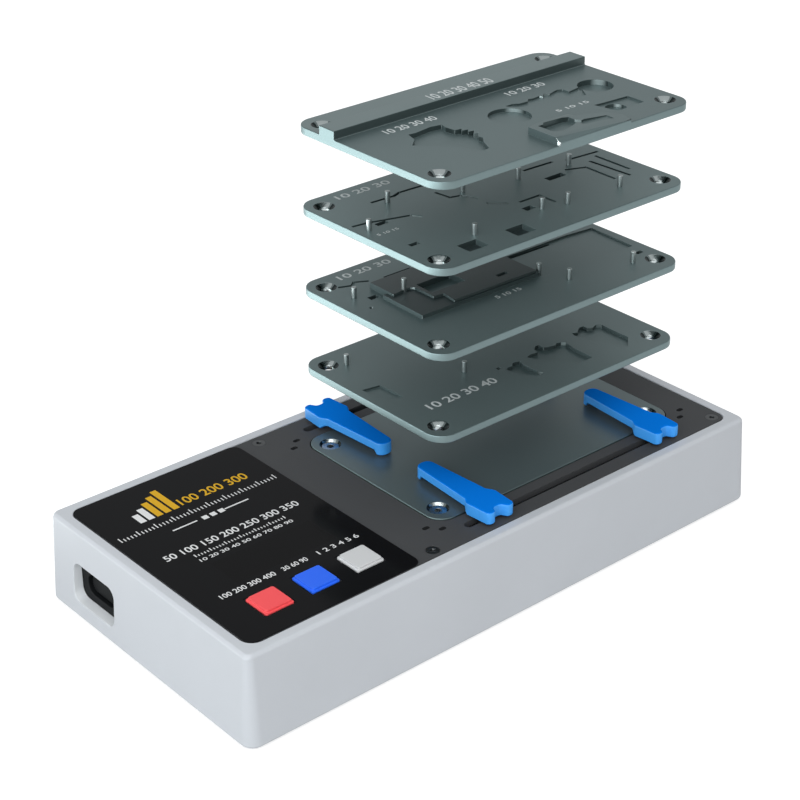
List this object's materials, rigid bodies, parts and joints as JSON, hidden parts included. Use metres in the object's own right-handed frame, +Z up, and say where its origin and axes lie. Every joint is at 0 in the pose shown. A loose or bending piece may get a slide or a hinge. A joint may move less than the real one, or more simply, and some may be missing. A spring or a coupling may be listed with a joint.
{
  "type": "pcb desoldering platform",
  "caption": "Low benchtop case with a heated plate, setting buttons, sliding blue clamps and a stack of interchangeable module plates for desoldering phone circuit boards.",
  "frame": {"origin": "middle of the case's footprint, on the surface it stands on", "axes": "+X along the case's length, from the mains inlet's end to the hot plate's end; +Y across the case, away from the buttons; +Z up"},
  "size_m": [0.2012, 0.1004, 0.1382],
  "materials": {
    "case_plastic": "fine matte moulded plastic, light grey",
    "deck_black": "satin dark grey coated metal",
    "overlay_gloss": "glossy black film",
    "button_red": "satin moulded plastic, red",
    "button_blue": "satin moulded plastic, blue",
    "button_white": "satin moulded plastic, light grey",
    "clamp_blue": "satin moulded plastic, blue",
    "plate_anodised": "satin anodised, dark green grey",
    "module_anodised": "satin anodised, dark green grey",
    "pin_steel": "ground steel",
    "screw_steel": "plated steel",
    "sheet_steel": "plain steel sheet",
    "rubber_black": "matte rubber",
    "socket_black": "satin black plastic",
    "contact_brass": "plated contact",
    "board_green": "solder mask",
    "board_tan": "paper laminate",
    "part_black": "moulded component body",
    "part_yellow": "transformer tape",
    "relay_blue": "relay housing",
    "ceramic_white": "unglazed ceramic",
    "mica": "insulation sheet",
    "wire_red": "wire insulation",
    "wire_white": "fibreglass wire sleeve"
  },
  "bodies": {
    "base": {"housing": "case_plastic", "bottom_cover": "case_plastic", "rubber_feet": "rubber_black", "bottom_screws": "screw_steel", "top_deck": "deck_black", "deck_screws": "screw_steel", "control_overlay": "overlay_gloss", "display_module": "part_black", "tactile_switches": "part_black", "control_board": "board_green", "board_spacers": "ceramic_white", "power_board": "board_tan", "power_transformer": "part_yellow", "power_capacitor": "part_black", "power_relay": "relay_blue", "inlet_socket": "socket_black", "inlet_contacts": "contact_brass", "inlet_leads": "wire_red", "heater_leads": "wire_white", "sensor_lead": "wire_white", "hot_plate": "plate_anodised", "plate_screws": "screw_steel", "ceramic_standoffs": "ceramic_white", "plate_bracket": "sheet_steel", "bracket_screws": "screw_steel", "heating_element": "mica", "pressure_plate": "sheet_steel", "heater_screws": "screw_steel", "insulation_sheet": "mica", "temperature_sensor": "screw_steel", "thermal_cutout": "ceramic_white", "clamp_rails": "sheet_steel", "rail_screws": "screw_steel"},
    "temperature_button": {"temperature_button": "button_red"},
    "time_button": {"time_button": "button_blue"},
    "confirm_button": {"confirm_button": "button_white"},
    "carriage_1": {"clamp_carriage_1": "sheet_steel", "clamp_spring_1": "screw_steel"},
    "post_1": {"clamp_post_1": "screw_steel"},
    "jaw_1": {"clamp_jaw_1": "clamp_blue"},
    "carriage_2": {"clamp_carriage_2": "sheet_steel", "clamp_spring_2": "screw_steel"},
    "post_2": {"clamp_post_2": "screw_steel"},
    "jaw_2": {"clamp_jaw_2": "clamp_blue"},
    "carriage_3": {"clamp_carriage_3": "sheet_steel", "clamp_spring_3": "screw_steel"},
    "post_3": {"clamp_post_3": "screw_steel"},
    "jaw_3": {"clamp_jaw_3": "clamp_blue"},
    "carriage_4": {"clamp_carriage_4": "sheet_steel", "clamp_spring_4": "screw_steel"},
    "post_4": {"clamp_post_4": "screw_steel"},
    "jaw_4": {"clamp_jaw_4": "clamp_blue"},
    "module_1": {"module_1": "module_anodised", "module_1_pins": "pin_steel"},
    "module_2": {"module_2": "module_anodised", "module_2_pins": "pin_steel"},
    "module_3": {"module_3": "module_anodised", "module_3_pins": "pin_steel"},
    "module_4": {"module_4": "module_anodised"}
  },
  "joints": [
    {"name": "temperature_press", "type": "slide", "parent": "base", "child": "temperature_button", "axis": [0, 0, 1], "range_m": [-0.0004, 0], "stiffness_N_per_m": 1200, "springref_m": 0.0003},
    {"name": "time_press", "type": "slide", "parent": "base", "child": "time_button", "axis": [0, 0, 1], "range_m": [-0.0004, 0], "stiffness_N_per_m": 1200, "springref_m": 0.0003},
    {"name": "confirm_press", "type": "slide", "parent": "base", "child": "confirm_button", "axis": [0, 0, 1], "range_m": [-0.0004, 0], "stiffness_N_per_m": 1200, "springref_m": 0.0003},
    {"name": "clamp_1_slide", "type": "slide", "parent": "base", "child": "carriage_1", "axis": [1, 0, 0], "range_m": [-0.006, 0.027]},
    {"name": "clamp_1_lift", "type": "slide", "parent": "carriage_1", "child": "post_1", "axis": [0, 0, 1], "range_m": [0, 0.0042], "stiffness_N_per_m": 400, "springref_m": -0.004, "deforming": ["clamp_spring_1"]},
    {"name": "clamp_1_swivel", "type": "hinge", "parent": "post_1", "child": "jaw_1", "pos_m": [-0.003, 0.0377, 0.0333], "axis": [0, 0, 1], "range_deg": [-90, 90]},
    {"name": "clamp_2_slide", "type": "slide", "parent": "base", "child": "carriage_2", "axis": [1, 0, 0], "range_m": [-0.006, 0.027]},
    {"name": "clamp_2_lift", "type": "slide", "parent": "carriage_2", "child": "post_2", "axis": [0, 0, 1], "range_m": [0, 0.0042], "stiffness_N_per_m": 400, "springref_m": -0.004, "deforming": ["clamp_spring_2"]},
    {"name": "clamp_2_swivel", "type": "hinge", "parent": "post_2", "child": "jaw_2", "pos_m": [-0.003, -0.0377, 0.0333], "axis": [0, 0, 1], "range_deg": [-90, 90]},
    {"name": "clamp_3_slide", "type": "slide", "parent": "base", "child": "carriage_3", "axis": [1, 0, 0], "range_m": [-0.027, 0.006]},
    {"name": "clamp_3_lift", "type": "slide", "parent": "carriage_3", "child": "post_3", "axis": [0, 0, 1], "range_m": [0, 0.0042], "stiffness_N_per_m": 400, "springref_m": -0.004, "deforming": ["clamp_spring_3"]},
    {"name": "clamp_3_swivel", "type": "hinge", "parent": "post_3", "child": "jaw_3", "pos_m": [0.068, -0.0377, 0.0333], "axis": [0, 0, 1], "range_deg": [-90, 90]},
    {"name": "clamp_4_slide", "type": "slide", "parent": "base", "child": "carriage_4", "axis": [1, 0, 0], "range_m": [-0.027, 0.006]},
    {"name": "clamp_4_lift", "type": "slide", "parent": "carriage_4", "child": "post_4", "axis": [0, 0, 1], "range_m": [0, 0.0042], "stiffness_N_per_m": 400, "springref_m": -0.004, "deforming": ["clamp_spring_4"]},
    {"name": "clamp_4_swivel", "type": "hinge", "parent": "post_4", "child": "jaw_4", "pos_m": [0.068, 0.0377, 0.0333], "axis": [0, 0, 1], "range_deg": [-90, 90]},
    {"name": "module_1_lift", "type": "slide", "parent": "base", "child": "module_1", "axis": [0, 0, 1], "range_m": [-0.0199, 0]},
    {"name": "module_2_lift", "type": "slide", "parent": "module_1", "child": "module_2", "axis": [0, 0, 1], "range_m": [-0.0198, 0]},
    {"name": "module_3_lift", "type": "slide", "parent": "module_2", "child": "module_3", "axis": [0, 0, 1], "range_m": [-0.0178, 0]},
    {"name": "module_4_lift", "type": "slide", "parent": "module_3", "child": "module_4", "axis": [0, 0, 1], "range_m": [-0.0188, 0]}
  ]
}
